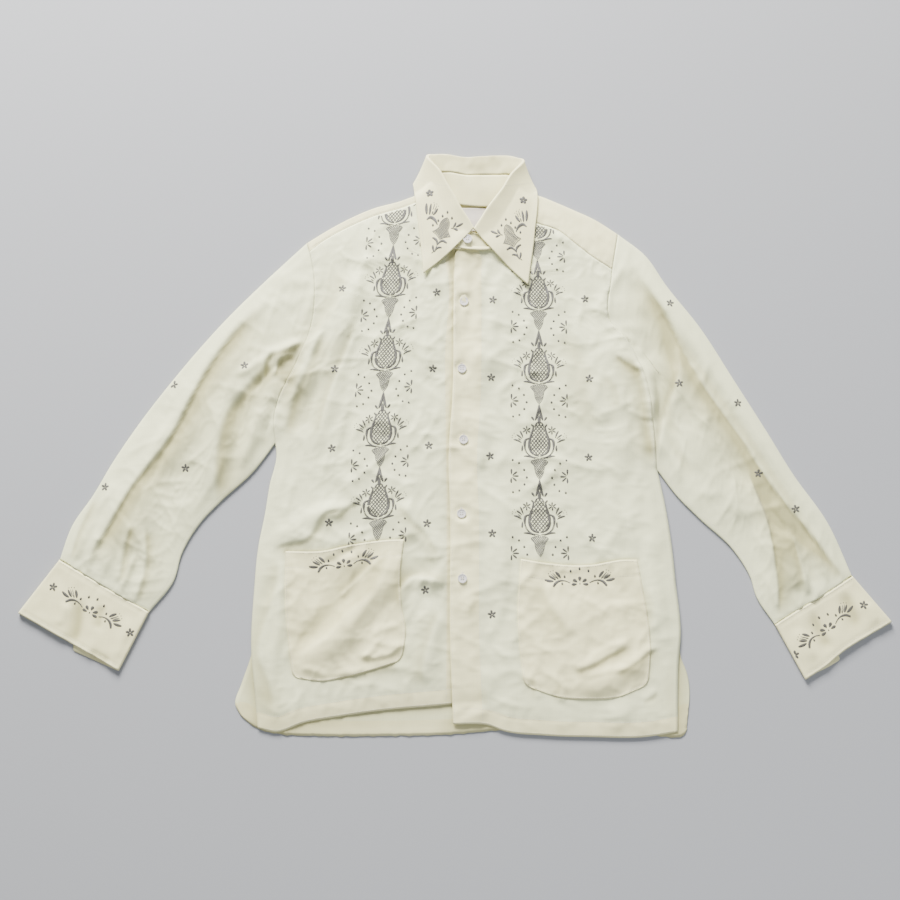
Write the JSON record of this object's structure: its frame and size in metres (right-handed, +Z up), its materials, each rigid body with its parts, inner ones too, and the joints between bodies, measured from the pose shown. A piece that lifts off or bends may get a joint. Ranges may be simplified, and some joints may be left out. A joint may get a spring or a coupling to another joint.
{
  "type": "embroidered shirt",
  "caption": "Long-sleeved men's shirt with pineapple embroidery, pointed collar, patch pockets and side vents, buttoned up and laid flat on its back.",
  "frame": {"origin": "middle of the bottom of the bounding box, on the surface that the shirt lies on", "axes": "+X to the viewer's right across the laid shirt, +Y from the hem towards the collar, +Z up from the surface"},
  "size_m": [1.128, 0.785, 0.0201],
  "materials": {
    "cloth": "fine plain weave with a soft sheen, pale ivory",
    "double_cloth": "two layers of the same cloth, creamier",
    "embroidery": "satin-stitched taupe-grey thread",
    "sewing_thread": "cream sewing thread",
    "button_shell": "white, slightly pearly",
    "label_tape": "plain woven tape, blank"
  },
  "bodies": {
    "root": {"back": "cloth", "yoke": "cloth", "front_left": "cloth", "front_right": "cloth", "sleeve_left": "cloth", "sleeve_right": "cloth", "cuff_left": "double_cloth", "cuff_right": "double_cloth", "collar": "double_cloth", "collar_stand": "double_cloth", "pocket_left": "double_cloth", "pocket_right": "double_cloth", "label": "label_tape", "button_1": "button_shell", "button_2": "button_shell", "button_3": "button_shell", "button_4": "button_shell", "button_5": "button_shell", "button_6": "button_shell"}
  },
  "joints": []
}
